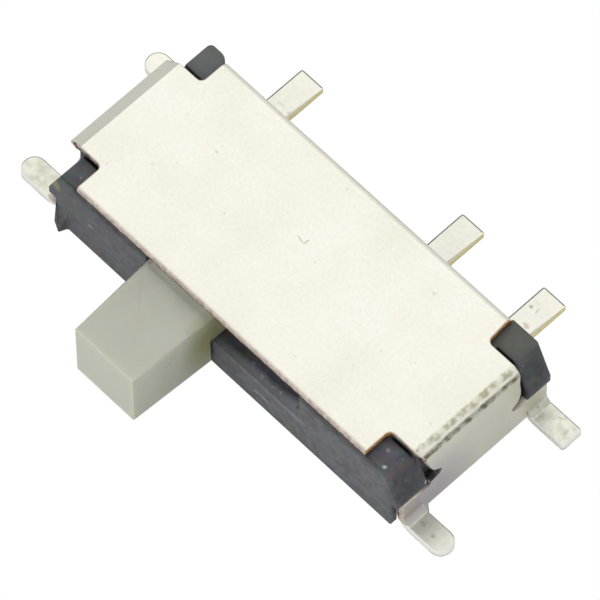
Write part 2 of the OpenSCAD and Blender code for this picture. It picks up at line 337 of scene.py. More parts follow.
    def thicken(self, thickness: float, finishes: "Finishes", **settings: object) -> Self:
        """Gives a folded sheet, drawn by its upper side, its thickness below it, with bare edges.

        Args:
            thickness: how thick the sheet is.
            finishes: the materials to choose from.
            settings: other values of the modifier, by property name.

        Returns:
            The piece itself.
        """
        self.pick(Kind.FACE, place())
        bpy.ops.mesh.normals_make_consistent(inside=False)
        self.dress(finishes.plating, finishes.edge).edit(on=False)
        largest = max(self.obj.data.polygons, key=lambda face: face.area)
        offset = -1 if largest.normal.z > 0 else 1
        settings |= {"use_even_offset": True, "material_offset_rim": 1}
        return self.modify("SOLIDIFY", thickness=thickness, offset=offset, **settings)

    def done(self, body: Body, replaced: str, slot: str, crease: float = 32) -> None:
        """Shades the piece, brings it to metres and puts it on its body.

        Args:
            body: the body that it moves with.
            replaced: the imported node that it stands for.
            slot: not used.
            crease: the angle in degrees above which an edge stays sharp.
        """
        self.edit(on=False)
        bpy.ops.object.shade_smooth_by_angle(angle=math.radians(crease))
        self.modify("WEIGHTED_NORMAL", mode="FACE_AREA_WITH_ANGLE", keep_sharp=True, weight=100)
        self.obj.scale = (MM, MM, MM)
        bpy.ops.object.transform_apply(location=True, rotation=True, scale=True)
        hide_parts(replaced)
        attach(self.obj, body.value)
        LOG.info("%s: %d faces", self.obj.name, len(self.obj.data.polygons))


def linear(hex_code: str) -> tuple[float, float, float, float]:
    """Turns an sRGB hex colour into a linear one.

    Args:
        hex_code: such as "F2F0E8".

    Returns:
        Red, green, blue and an alpha of 1.
    """
    parts = [int(hex_code[i : i + 2], 16) / 255 for i in (0, 2, 4)]
    light = [c / 12.92 if c <= 0.04045 else ((c + 0.055) / 1.055) ** 2.4 for c in parts]
    return (*light, 1.0)


class Wiring:
    """A node tree being wired up, for a material or for the world."""

    def __init__(self, owner: bpy.types.Material | bpy.types.World) -> None:
        """Starts with an empty tree."""
        owner.use_nodes = True
        self.tree = owner.node_tree
        self.tree.nodes.clear()

    def add(
        self, kind: str, settings: dict[str | int, object] | None = None, links: Links | None = None
    ) -> bpy.types.NodeOutputs:
        """Adds a node with its settings and links.

        Args:
            kind: the node's type, without its first word.
            settings: values by input name or number, or by the node's own property.
            links: source sockets by input name or number.

        Returns:
            The new node's outputs.
        """
        node = self.tree.nodes.new("ShaderNode" + kind)
        for key, value in (settings or {}).items():
            if isinstance(key, str) and hasattr(node, key):
                setattr(node, key, value)
            else:
                node.inputs[key].default_value = value
        for key, source in (links or {}).items():
            self.tree.links.new(source, node.inputs[key])
        return node.outputs

    def ramp(self, value: Socket, low: float, high: float, first: float = 0.0, last: float = 1.0) -> Socket:
        """Turns a range of a value into another range, and clamps it."""
        settings = {"From Min": low, "From Max": high, "To Min": first, "To Max": last}
        return self.add("MapRange", settings, {"Value": value})["Result"]

    def rays(self) -> tuple[Socket, Socket, Socket]:
        """Says of a ray whether it is the camera's, came through clear resin, or was mirrored."""
        path = self.add("LightPath")
        return path["Is Camera Ray"], path["Is Transmission Ray"], path["Is Glossy Ray"]

    def math(self, operation: str, first: Socket, *others: Socket | float) -> Socket:
        """Does a sum with values.

        Args:
            operation: the sum's name.
            first: its first value.
            others: its other values.

        Returns:
            The result.
        """
        settings: dict[str | int, object] = {"operation": operation}
        links: Links = {0: first}
        for index, other in enumerate(others, 1):
            (settings if isinstance(other, (int, float)) else links)[index] = other
        return self.add("Math", settings, links)[0]


@dataclass(frozen=True)
class Mark:
    """A stain, scuff or dent, or a painted shade or highlight, at one place: an ellipse in millimetres,
    ragged and patchy or soft.
    """

    place: Point
    size: Point
    colour: str
    share: float = 0.8
    turn: float = 0.0
    soft: bool = False


class Paint(Wiring):
    """A material in the making, with a place in millimetres to lay its patterns out on."""

    def __init__(self, name: str) -> None:
        """Starts an empty material."""
        self.material = bpy.data.materials.new(name)
        super().__init__(self.material)
        coord = self.add("TexCoord")["Object"]
        self.where = self.add("Mapping", {"Scale": (1 / MM, 1 / MM, 1 / MM)}, {"Vector": coord})["Vector"]

    def noise(
        self, size: float, detail: float = 3.0, stretch: Point = (1, 1, 1), out: str = "Fac"
    ) -> Socket:
        """Gives a cloudy pattern, with clouds of a size in millimetres, squeezed by stretch."""
        laid = self.add("Mapping", {"Scale": stretch}, {"Vector": self.where})["Vector"]
        return self.add("TexNoise", {"Scale": 1 / size, "Detail": detail}, {"Vector": laid})[out]

    def spots(self, size: float, radius: float) -> Socket:
        """Gives 1 in round spots of a radius, scattered so far apart in millimetres, and 0 between them."""
        cells = self.add("TexVoronoi", {"Scale": 1 / size}, {"Vector": self.where})
        return self.ramp(cells["Distance"], radius / size, radius / size / 2)

    def blend(self, share: Socket, low: Socket | str, high: Socket | str, how: str = "MIX") -> Socket:
        """Mixes two colours.

        Args:
            share: how much of the second one there is.
            low: the first colour, as a hex code or another pattern.
            high: the second colour.
            how: the way they are mixed.

        Returns:
            The mixed colour.
        """
        settings: dict[str | int, object] = {"data_type": "RGBA", "blend_type": how}
        links: Links = {0: share}
        for index, colour in ((6, low), (7, high)):
            if isinstance(colour, str):
                settings[index] = linear(colour)
            else:
                links[index] = colour
        return self.add("Mix", settings, links)[2]

    def marks(self, colour: Socket, marks: Iterable[Mark], ragged: float = 0.03) -> Socket:
        """Lays marks over a colour.

        Args:
            colour: the colour under them.
            marks: what to lay on.
            ragged: how far their edges stray, in millimetres.

        Returns:
            The marked colour.
        """
        stray = self.noise(0.09, 2.0, out="Color")
        patchy = self.ramp(self.noise(0.13, 2.0), 0.38, 0.6, 0.3, 1.0)
        wander = {"operation": "MULTIPLY_ADD", 1: (ragged * 2,) * 3}
        strayed = self.add("VectorMath", wander, {0: stray, 2: self.where})[0]
        for mark in marks:
            settings = {
                "vector_type": "TEXTURE",
                "Location": tuple(value + ragged for value in mark.place),
                "Rotation": (0, 0, math.radians(mark.turn)),
                "Scale": mark.size,
            }
            local = self.add("Mapping", settings, {"Vector": strayed})["Vector"]
            away = self.add("VectorMath", {"operation": "LENGTH"}, {0: local})["Value"]
            share = self.ramp(away, 1.15, 0.3 if mark.soft else 0.6, 0, mark.share)
            if not mark.soft:
                share = self.math("MULTIPLY", share, patchy)
            colour = self.blend(share, colour, mark.colour)
        return colour

    def finish(
        self, colour: Socket, rough: Socket, height: Socket, bump: float, **settings: object
    ) -> bpy.types.Material:
        """Builds the surface.

        Args:
            colour: its colour.
            rough: its roughness.
            height: the pattern of its bumps.
            bump: how strong the bumps are.
            settings: other values of the surface shader, by socket name.

        Returns:
            The finished material.
        """
        relief = self.add("Bump", {"Strength": bump, "Distance": 0.01 * MM}, {"Height": height})["Normal"]
        links = {"Base Color": colour, "Roughness": rough, "Normal": relief}
        named = {key.replace("_", " "): value for key, value in settings.items()}
        surface = self.add("BsdfPrincipled", named, links)["BSDF"]
        self.add("OutputMaterial", None, {"Surface": surface})
        return self.material


@dataclass(frozen=True)
class TinPlating:
    """Bright tin plating, rolled and stamped: near-white, with soft clouds and a fine satin grain."""

    bright: str = "F7F6EA"
    dull: str = "F0EEDF"
    speck: str = "C9C7BC"
    cloud_mm: float = 0.9
    grain_mm: float = 0.05
    roughness: float = 0.34
    speck_gap_mm: float = 0.32
    speck_r_mm: float = 0.022
    speck_share: float = 0.45
    marks: tuple[Mark, ...] = (
        # Two blotchy darker lines along the right end's bend, and a painted shade line along the foot of
        # the right wall.
        Mark((3.125, 0, 1.446), (0.055, 3, 0.05), "A9A789", 0.9),
        Mark((3.238, 0, 1.405), (0.036, 3, 0.055), "8A876C", 1.0),
        Mark((3.25, 0, 0.05), (0.05, 1.2, 0.03), "9C988C", 0.8),
        # Specks and hair scratches on the top.
        Mark((-1.783, 0.311, 1.45), (0.03, 0.02, 0.02), "C4C1B2", 0.7),
        Mark((0.26, 0.106, 1.45), (0.02, 0.03, 0.02), "C0BDAC", 0.7),
        Mark((1.643, 0.883, 1.45), (0.03, 0.02, 0.02), "C0BDAC", 0.7),
        Mark((1.047, -1.03, 1.45), (0.035, 0.02, 0.02), "D2D0C4", 0.8),
        Mark((-0.1, 0.2, 1.45), (0.09, 0.012, 0.02), "B4AE9A", 0.8, turn=-6),
        Mark((-0.02, 0.24, 1.45), (0.012, 0.05, 0.02), "B4AE9A", 0.8),
        Mark((0.75, 1.315, 1.45), (0.14, 0.012, 0.03), "A9A48F", 0.8, turn=8),
        # Scuffs on the leads and the feet, from the strip's feed and the tape.
        Mark((-2.24, 1.91, 0.12), (0.07, 0.02, 0.02), "7F7C6C", 1.0, turn=15),
        Mark((-2.08, 1.89, 0.12), (0.025, 0.03, 0.02), "7A7748", 0.9),
        Mark((0.6, 1.95, 0.12), (0.09, 0.02, 0.02), "8F8C7C", 0.9, turn=-15),
        Mark((0.604, 2.427, 0.12), (0.05, 0.03, 0.02), "A09C88", 0.8),
        Mark((2.164, 2.143, 0.12), (0.03, 0.03, 0.02), "5E5C44", 1.0),
        Mark((2.175, 2.239, 0.12), (0.055, 0.014, 0.02), "8F8C74", 0.9, turn=-7),
        Mark((2.27, 2.15, 0.12), (0.014, 0.055, 0.02), "8F8C74", 0.9),
        Mark((2.33, 1.9, 0.12), (0.07, 0.035, 0.02), "7A4E30", 0.9),
        Mark((3.643, -1.084, 0.12), (0.03, 0.025, 0.02), "6A6A58", 1.0),
        Mark((3.42, -1.06, 0.12), (0.05, 0.03, 0.03), "A9A894", 0.7),
        Mark((3.574, 1.27, 0.12), (0.05, 0.02, 0.02), "A9A690", 0.9, turn=30),
        Mark((3.78, 1.19, 0.12), (0.03, 0.06, 0.02), "A09C84", 0.8),
        Mark((3.265, 1.16, 0.134), (0.03, 0.03, 0.05), "4E4A3C", 0.9),
        # Painted shade over the right wall's lower front part, greyer patches on two of the feet, and a
        # greyer tone over the leads.
        Mark((3.25, -0.75, 0.35), (0.1, 0.8, 0.9), "CFC8CF", 0.9, soft=True),
        Mark((3.65, 1.2, 0.12), (0.4, 0.25, 0.04), "CBCAB8", 0.7),
        Mark((-3.65, -1.06, 0.12), (0.4, 0.25, 0.04), "C6C5B0", 0.7),
        Mark((0, 2.0, 0.12), (3.4, 0.8, 0.05), "E9E8DC", 0.9, soft=True),
    )

    def make(self) -> bpy.types.Material:
        """Builds the material."""
        paint = Paint("tin_plating")
        grain = paint.noise(self.grain_mm)
        clouds = paint.ramp(paint.noise(self.cloud_mm, 4.0), 0.35, 0.75)
        colour = paint.blend(clouds, self.bright, self.dull)
        specked = paint.math("MULTIPLY", paint.spots(self.speck_gap_mm, self.speck_r_mm), self.speck_share)
        colour = paint.blend(specked, colour, self.speck)
        colour = paint.marks(colour, self.marks)
        rough = paint.ramp(grain, 0, 1, self.roughness - 0.08, self.roughness + 0.12)
        return paint.finish(colour, rough, grain, 0.12, Metallic=1.0)


@dataclass(frozen=True)
class ShearedEdge:
    """Bare metal where the sheet was sheared: a pale burnished band over a dark, torn one.

    The edges that were cropped across the strip are stained to gold.
    """

    burnished: str = "D0C3B9"
    rubbed: str = "AC9D94"
    torn: str = "54392E"
    rolled: str = "F6F0E4"
    gilt: str = "B8843C"
    low_skin: str = "F2F0EA"
    low_gilt: str = "EADFA0"
    low_torn: str = "6E6750"
    # Painted shade for the feet's and leads' edges that face back or to the left.
    far_edge_shade: str = "86867E"
    sheet_t: float = 0.12
    top_z: float = 1.45
    wall_x: float = 3.25
    gilt_end_x: float = 3.0
    marks: tuple[Mark, ...] = (
        # Painted shade in the slits beside the right wall's foot, front and back, and a painted highlight
        # on the lip under the front one.
        Mark((3.2, -0.7, 0.8), (0.3, 0.3, 0.5), "2C2224", 1.0, soft=True),
        Mark((3.2, 0.84, 0.9), (0.2, 0.15, 0.42), "1E1A18", 1.0, soft=True),
        Mark((3.22, -0.775, 0.63), (0.07, 0.03, 0.03), "FFFFFF", 1.0),
        # Torn brown faces in the two front notches.
        Mark((2.88, -0.9, 1.36), (0.3, 0.03, 0.08), "533A32", 0.95),
        Mark((-2.88, -0.9, 1.36), (0.3, 0.03, 0.08), "533A32", 0.95),
    )

    def make(self) -> bpy.types.Material:
        """Builds the material."""
        paint = Paint("sheared_edge")
        split = paint.add("SeparateXYZ", None, {0: paint.where})
        x, z = paint.math("ABSOLUTE", split["X"]), split["Z"]
        in_wall = paint.ramp(x, self.wall_x, self.wall_x - self.sheet_t)
        in_top = paint.ramp(z, self.top_z, self.top_z - self.sheet_t)
        in_foot = paint.ramp(z, self.sheet_t, 0)
        is_top = paint.math("GREATER_THAN", z, self.top_z - self.sheet_t - 0.01)
        is_foot = paint.math("LESS_THAN", z, self.sheet_t + 0.01)
        depth = in_wall
        for chosen, value in ((is_top, in_top), (is_foot, in_foot)):
            depth = paint.add("Mix", None, {0: chosen, 2: depth, 3: value})[0]
        streak = paint.noise(0.07, 3.0)
        rough_edge = paint.math("MULTIPLY_ADD", streak, 0.5, depth)
        facing = paint.add("SeparateXYZ", None, {0: paint.add("NewGeometry")["True Normal"]})
        inner = paint.ramp(x, self.gilt_end_x, self.gilt_end_x - 0.1)
        gilded = paint.math("MULTIPLY", paint.ramp(facing["X"], 0.3, 0.6), inner)
        patchy = paint.ramp(streak, 0.3, 0.5, 0.5, 0.95)
        high = paint.blend(paint.ramp(streak, 0.35, 0.65), self.burnished, self.rubbed)
        high = paint.blend(paint.math("MULTIPLY", gilded, patchy), high, self.gilt)
        high = paint.blend(paint.ramp(facing["Z"], 0.75, 1.0), high, self.rolled)
        high = paint.blend(paint.ramp(rough_edge, 0.8, 1.0), high, self.torn)
        low = paint.blend(gilded, self.low_skin, self.low_gilt)
        low = paint.blend(paint.ramp(rough_edge, 0.9, 1.15), low, self.low_torn)
        # Edges of the feet and leads that face back or to the left are painted grey as shade.
        away = paint.math("SUBTRACT", facing["Y"], facing["X"])
        low = paint.blend(paint.ramp(away, 0.1, 0.3), low, self.far_edge_shade)
        colour = paint.marks(paint.blend(is_foot, high, low), self.marks, ragged=0.015)
        return paint.finish(colour, paint.ramp(streak, 0, 1, 0.4, 0.6), streak, 0.2, Metallic=0.3)


@dataclass(frozen=True)
class MouldedResin:
    """Moulded resin: a skin with fine grain, mottled flow clouds and small pale specks of filler."""

    name: str
    skin: str
    flow: str
    roughness: float
    grain_bump: float
    mottle: float
    speck: str = "9A9A94"
    speck_share: float = 0.0
    clear: float = 0.0
    depth_mm: float = 0.4
    marks: tuple[Mark, ...] = ()

    def make(self) -> bpy.types.Material:
        """Builds the material."""
        paint = Paint(self.name)
        grain = paint.noise(0.04)
        colour = paint.blend(paint.ramp(paint.noise(0.5), 0.35, 0.65), self.skin, self.flow)
        spread = {"operation": "MULTIPLY_ADD", 1: (2 * self.mottle,) * 3, 2: (1 - self.mottle,) * 3}
        tints = paint.add("VectorMath", spread, {0: paint.noise(0.14, 2.0, out="Color")})[0]
        colour = paint.add("VectorMath", {"operation": "MULTIPLY"}, {0: colour, 1: tints})[0]
        dotted = paint.math("MULTIPLY", paint.spots(0.16, 0.02), self.speck_share)
        colour = paint.blend(dotted, colour, self.speck)
        colour = paint.marks(colour, self.marks)
        rough = paint.ramp(grain, 0, 1, self.roughness - 0.08, self.roughness + 0.08)
        return paint.finish(
            colour,
            rough,
            grain,
            self.grain_bump,
            IOR=1.55,
            Subsurface_Weight=self.clear,
            Subsurface_Radius=(1.0, 1.0, 0.75),
            Subsurface_Scale=self.depth_mm * MM,
        )


@dataclass(frozen=True)
class SpringBronze:
    """Phosphor bronze strip, cold rolled: golden, with fine lines along the strip."""

    light: str = "D9AE7C"
    dark: str = "B98A58"

    def make(self) -> bpy.types.Material:
        """Builds the material."""
        paint = Paint("spring_bronze")
        lines = paint.noise(0.03, 3.0, stretch=(0.1, 1.0, 1.0))
        colour = paint.blend(lines, self.light, self.dark)
        return paint.finish(colour, paint.ramp(lines, 0, 1, 0.25, 0.35), lines, 0.1, Metallic=1.0)


BASE_MARKS = (
    # A painted shade line along the front wall's foot, painted light over the front wall and on the sill,
    # and a lighter band just under the slot's sill.
    Mark((0, -1.33, 0.0), (5, 0.1, 0.05), "242426", 1.0),
    Mark((0.9, -1.33, 0.7), (4.2, 0.1, 0.8), "66676C", 0.75),
    Mark((0.95, -1.25, 0.6), (1.1, 0.09, 0.1), "7E7F86", 0.9, soft=True),
    Mark((1.35, -1.22, 0.6), (0.35, 0.12, 0.1), "8E8F96", 0.9, soft=True),
    Mark((0.3, -1.325, 0.5), (1.4, 0.04, 0.07), "54555A", 0.8, soft=True),
    # A painted shadow line on the wall just under the cover's rim, left and right of the slot.
    Mark((-2.02, -1.325, 1.3), (1.15, 0.05, 0.18), "1A181E", 1.0),
    Mark((2.05, -1.325, 1.3), (1.0, 0.05, 0.18), "1A181E", 1.0),
    # Painted shade in the clefts and slits beside the right wall and a painted highlight on the lip there,
    # painted shade on the right posts' slanted faces, and paler tops on the two back posts.
    Mark((3.1, 0.985, 0.95), (0.4, 0.03, 0.4), "0C0A0A", 1.0),
    Mark((3.15, -1.12, 0.85), (0.16, 0.3, 0.4), "303137", 0.9),
    Mark((3.15, 1.15, 0.85), (0.16, 0.3, 0.4), "2E2F34", 0.9),
    Mark((-2.9, 1.15, 1.31), (0.4, 0.4, 0.05), "626764", 0.8, soft=True),
    Mark((2.8, 1.15, 1.31), (0.4, 0.4, 0.05), "5A5C52", 0.8, soft=True),
    Mark((3.1, -0.72, 0.68), (0.12, 0.12, 0.14), "1A1416", 1.0),
    Mark((3.1, 0.8, 0.68), (0.14, 0.1, 0.16), "0C0A0A", 1.0),
    Mark((3.22, -0.8, 0.68), (0.06, 0.04, 0.05), "F4F4F0", 1.0),
    # A scratch and a chip on the front wall, specks on the sill and on a post, and a post's olive stain.
    Mark((0.8, -1.325, 0.3), (0.27, 0.02, 0.018), "A4A4A8", 0.9),
    Mark((0.66, -1.231, 0.6), (0.03, 0.03, 0.02), "B0B0B0", 1.0),
    Mark((0.86, -1.23, 0.6), (0.035, 0.025, 0.02), "B0B0B0", 1.0),
    Mark((0.983, -1.206, 0.6), (0.025, 0.03, 0.02), "A8A8A8", 1.0),
    Mark((1.3, -1.2, 0.6), (0.03, 0.035, 0.02), "1E1E20", 0.9),
    Mark((2.801, -1.07, 1.31), (0.035, 0.03, 0.02), "ACACAC", 1.0),
    Mark((2.929, -1.265, 1.31), (0.035, 0.03, 0.02), "BCBCBC", 1.0),
    Mark((-2.426, -1.325, 0.676), (0.04, 0.02, 0.04), "9A9A9A", 1.0),
    Mark((-3.073, -1.325, 0.96), (0.08, 0.1, 0.14), "787A5C", 0.9),
)

# Painted light paling the knob towards its tip, then the knob's olive stain at its root, a nick and a
# speck.
KNOB_MARKS = (
    Mark((-0.72, -2.7, 0.9), (1.3, 1.0, 1.2), "BEC0B2", 0.8, soft=True),
    Mark((-0.16, -1.4, 0.75), (0.2, 0.42, 0.7), "94945E", 0.85, soft=True),
    Mark((-0.16, -1.34, 0.62), (0.05, 0.04, 0.12), "3E3C22", 1.0),
    Mark((-0.19, -2.056, 0.914), (0.04, 0.03, 0.03), "8A8A72", 1.0),
    Mark((-1.314, -1.318, 1.2), (0.05, 0.02, 0.03), "6E6E5E", 0.9),
)


@dataclass(frozen=True)
class Finishes:
    """The switch's materials, each made once."""

    plating: bpy.types.Material
    edge: bpy.types.Material
    black_resin: bpy.types.Material
    natural_resin: bpy.types.Material
    bronze: bpy.types.Material

    @classmethod
    def make(cls) -> "Finishes":
        """Builds them all."""
        return cls(
            plating=TinPlating().make(),
            edge=ShearedEdge().make(),
            black_resin=MouldedResin(
                "black_resin",
                skin="4A4B50",
                flow="404245",
                roughness=0.5,
                grain_bump=0.5,
                mottle=0.8,
                speck_share=0.6,
                marks=BASE_MARKS,
            ).make(),
            natural_resin=MouldedResin(
                "natural_resin",
                skin="BCBEB0",
                flow="B4B6A8",
                roughness=0.65,
                grain_bump=0.15,
                mottle=0.04,
                clear=0.5,
                depth_mm=0.2,
                marks=KNOB_MARKS,
            ).make(),
            bronze=SpringBronze().make(),
        )


@dataclass
class EndShape:
    """How one end of the cover is bent and cut: a short drawn slope, then a tight bend to the wall."""

    side: int
    start_x: float
    wall_x: float
    slope: float
    bend: float
    foot_cut: float
    square_back_foot: bool

    def fold_z(self, top: float) -> float:
        """Gives the height of the fold between the slope and the wall."""
        return top - (self.wall_x - self.start_x) * math.tan(math.radians(self.slope))


@dataclass
class Cover:
    """The plated cover, folded from one stamping."""

    sheet_t: float = 0.12
    notch_x: float = 2.66
    notch_y: float = 0.89
    notch_r: float = 0.08
    # How far the back right notch leans towards the middle, at its inner corner and at the back.
    notch_skews: Ends = (0.04, 0.07)
    back_bend_r: float = 0.13
    back_flange_h: float = 1.0
    bend_taper: float = 0.025
    rollover: float = 0.05
    shoulder_z: float = 0.56
    leg_z: float = 0.24
    wall_foot_z: float = 0.05
    foot_bend_r: float = 0.12
    foot_w: float = 0.36
    front_foot_y: float = -1.055
    back_foot_y: float = 1.175
    square_foot_cut: float = 0.08
    square_tip_r: float = 0.05
    tip_slack: float = 0.002
    front_inset: float = 0.01
    edge_r: float = 0.018
    ends: list[EndShape] = field(
        default_factory=lambda: [
            EndShape(-1, 3.055, 3.285, 36, 0.02, 0.0, False),
            EndShape(1, 3.105, 3.25, 12, 0.055, 0.045, True),
        ]
    )
    # Height, then where the wall's front and back edges are, from the bend down to the shoulders.
    wall_rows: tuple[Point, ...] = (
        (1.19, -0.813, 0.858),
        (1.01, -0.76, 0.880),
        (0.88, -0.706, 0.882),
        (0.81, -0.634, 0.868),
        (0.785, -0.582, 0.858),
        (0.71, -0.568, 0.808),
        (0.66, -0.595, 0.735),
        (0.62, -0.755, 0.731),
        (0.56, -0.77, 0.762),
        (0.24, -0.77, 0.762),
    )

    def __post_init__(self) -> None:
        """Reads the cover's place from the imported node."""
        low, high = node_box("cover")
        self.top, self.front, self.back = high.z, low.y + self.front_inset, high.y
        self.tip_x = high.x

    def top_sheet(self) -> Workpiece:
        """Draws the flat top with its four notches.

        Returns:
            The sheet, ready to be folded.
        """
        left, right = self.ends
        x, y = (-left.start_x, right.start_x), (self.front, self.back - self.back_bend_r)
        sheet = Workpiece.block("plated_cover", x, y, self.top)
        for side in (-1, 1):
            sheet.slice((side * self.notch_x, 0, 0), (1, 0, 0))
        for side in (-1, 1):
            sheet.slice((0, side * self.notch_y, 0), (0, 1, 0))
        notch_x, notch_y = self.notch_x - NEAR, self.notch_y - NEAR
        sheet.pick(Kind.FACE, lambda p: abs(p.x) > notch_x and abs(p.y) > notch_y).remove_faces()
        sheet.pick(Kind.FACE, place())
        bpy.ops.mesh.dissolve_faces(use_verts=False)
        for skewed_y, skew in zip((self.notch_y, y[1]), self.notch_skews):
            sheet.move(place(x=self.notch_x, y=skewed_y), (-skew, 0, 0))

        def is_inner_corner(point: Vector) -> bool:
            """Says whether a point is a notch's inner corner, skewed or not."""
            off_x, off_y = abs(point.x) - self.notch_x, abs(point.y) - self.notch_y
            return abs(off_x) < self.notch_skews[0] + NEAR and abs(off_y) < NEAR

        sheet.pick(Kind.VERT, is_inner_corner).round_off(self.notch_r, 5, corners=True)
        return sheet

    def fold_back(self, sheet: Workpiece) -> None:
        """Folds the back flange down from the top.

        Args:
            sheet: the cover's sheet.
        """
        fold_y = self.back - self.back_bend_r
        sheet.pick(Kind.EDGE, place(y=fold_y))
        sheet.spin((0, fold_y, self.top - self.back_bend_r), (1, 0, 0), -90, 6)
        sheet.push((0, 0, self.back_bend_r - self.back_flange_h))

    def fold_end(self, sheet: Workpiece, end: EndShape) -> None:
        """Folds one end wall down and cuts its reliefs.

        Args:
            sheet: the cover's sheet.
            end: which end, and its bend.
        """
        wall_x, z = end.side * end.wall_x, end.fold_z(self.top)
        sheet.pick(Kind.EDGE, place(x=end.side * end.start_x, y=(-self.notch_y, self.notch_y)))
        sheet.push((wall_x - end.side * end.start_x, 0, z - self.top))
        front, back = -self.notch_y + self.bend_taper, self.notch_y - self.bend_taper
        sheet.move(place(x=wall_x, y=-self.notch_y), (0, self.bend_taper, 0))
        sheet.move(place(x=wall_x, y=self.notch_y), (0, -self.bend_taper, 0))
        sheet.pick(Kind.EDGE, place(x=wall_x))
        for next_z, next_front, next_back in self.wall_rows:
            sheet.push((0, 0, next_z - z))
            sheet.move(place(x=wall_x, y=front, z=next_z), (0, next_front - front, 0))
            sheet.move(place(x=wall_x, y=back, z=next_z), (0, next_back - back, 0))
            z, front, back = next_z, next_front, next_back
            sheet.pick(Kind.EDGE, place(x=wall_x, y=(front, back), z=z))

    def spread_shoulders(self, sheet: Workpiece, wall_x: float) -> None:
        """Draws the shoulders and legs out from the foot of one end wall.

        Args:
            sheet: the cover's sheet.
            wall_x: where the wall's outer face is.
        """
        half_w = self.foot_w / 2
        (_, front_top, back_top), (_, front_low, back_low) = self.wall_rows[-2:]
        for inner, outer, low_y, top_y in (
            (self.front_foot_y + half_w, self.front_foot_y - half_w, front_low, front_top),
            (self.back_foot_y - half_w, self.back_foot_y + half_w, back_low, back_top),
        ):
            edge_span = (min(low_y, top_y), max(low_y, top_y))
            sheet.pick(Kind.EDGE, place(x=wall_x, y=edge_span, z=(self.leg_z, self.shoulder_z)))
            sheet.push((0, inner - low_y, 0))
            high_corner = place(x=wall_x, y=inner - low_y + top_y, z=self.shoulder_z)
            sheet.move(high_corner, (0, low_y - top_y, 0))
            sheet.pick(Kind.EDGE, place(x=wall_x, y=inner, z=(self.leg_z, self.shoulder_z)))
            sheet.push((0, outer - inner, 0))
        inner_back = self.back_foot_y - half_w
        sheet.pick(Kind.EDGE, place(x=wall_x, y=(front_low, inner_back), z=self.leg_z))
        sheet.push((0, 0, self.wall_foot_z - self.leg_z))

    def bend_foot(self, sheet: Workpiece, end: EndShape, foot_y: float) -> None:
        """Bends one leg out into its foot and rounds the tip.

        Args:
            sheet: the cover's sheet.
            end: which end the foot is at.
            foot_y: the foot's middle along Y.
        """
        side, half_w = end.side, self.foot_w / 2
        square = end.square_back_foot and foot_y > 0
        tip_x = self.tip_x - (self.square_foot_cut if square else end.foot_cut)
        span = (foot_y - half_w, foot_y + half_w)
        sheet.pick(Kind.EDGE, place(x=side * end.wall_x, y=span, z=self.leg_z))
        bend_x = side * (end.wall_x + self.foot_bend_r)
        sheet.spin((bend_x, 0, self.leg_z), (0, 1, 0), -90 * side, 6)
        sheet.push((side * (tip_x - end.wall_x - self.foot_bend_r), 0, 0))
        tip_r, steps = (self.square_tip_r, 4) if square else (half_w - self.tip_slack, 8)
        sheet.pick(Kind.VERT, place(x=side * tip_x, y=span)).round_off(tip_r, steps, corners=True)

    def fill_web(self, sheet: Workpiece, end: EndShape) -> None:
        """Fills the web between the front leg's bend and the foot of the wall.

        Args:
            sheet: the cover's sheet.
            end: which end, and its bend.
        """
        side, wall_x = end.side, end.side * end.wall_x
        inner = self.front_foot_y + self.foot_w / 2
        corner_y = self.wall_rows[-1][1]
        reach = (wall_x, wall_x + side * self.foot_bend_r)
        along = place(x=(min(reach), max(reach)), y=inner, z=(self.sheet_t, self.leg_z))
        sheet.pick(Kind.EDGE, along).push((0, corner_y - inner, 0))
        new_end = place(x=(min(reach), max(reach)), y=corner_y, z=(self.sheet_t - NEAR, self.leg_z))
        keep = place(x=wall_x, y=corner_y, z=self.leg_z)
        sheet.pick(Kind.VERT, lambda p: new_end(p) and not keep(p))
        bpy.ops.mesh.merge(type="CENTER")
        mesh = bmesh.from_edit_mesh(sheet.obj.data)
        gathered = [vert for vert in mesh.verts if vert.select][0].co
        sheet.shift((wall_x - gathered.x, 0, self.wall_foot_z - gathered.z))
        sheet.pick(Kind.VERT, place())
        bpy.ops.mesh.remove_doubles(threshold=1e-3)

    def build(self, finishes: Finishes) -> None:
        """Folds the cover, gives it its thickness and dresses it.

        Args:
            finishes: the materials to choose from.
        """
        sheet = self.top_sheet()
        self.fold_back(sheet)
        for end in self.ends:
            self.fold_end(sheet, end)
            self.spread_shoulders(sheet, end.side * end.wall_x)
            for foot_y in (self.front_foot_y, self.back_foot_y):
                self.bend_foot(sheet, end, foot_y)
            self.fill_web(sheet, end)
        sheet.thicken(self.sheet_t, finishes, use_quality_normals=True)
        for end in self.ends:
            fold = place(x=end.side * end.wall_x, z=end.fold_z(self.top))
            sheet.pick(Kind.EDGE, fold).round_off(end.bend, 5)
        sheet.pick(Kind.EDGE, place(y=self.front, z=self.top))
        sheet.round_off(self.rollover, 4, material=1)
        sheet.soften(self.edge_r, 2, 60, material=1)
        sheet.done(Body.HOUSING, "cover", "plated_steel", crease=19)


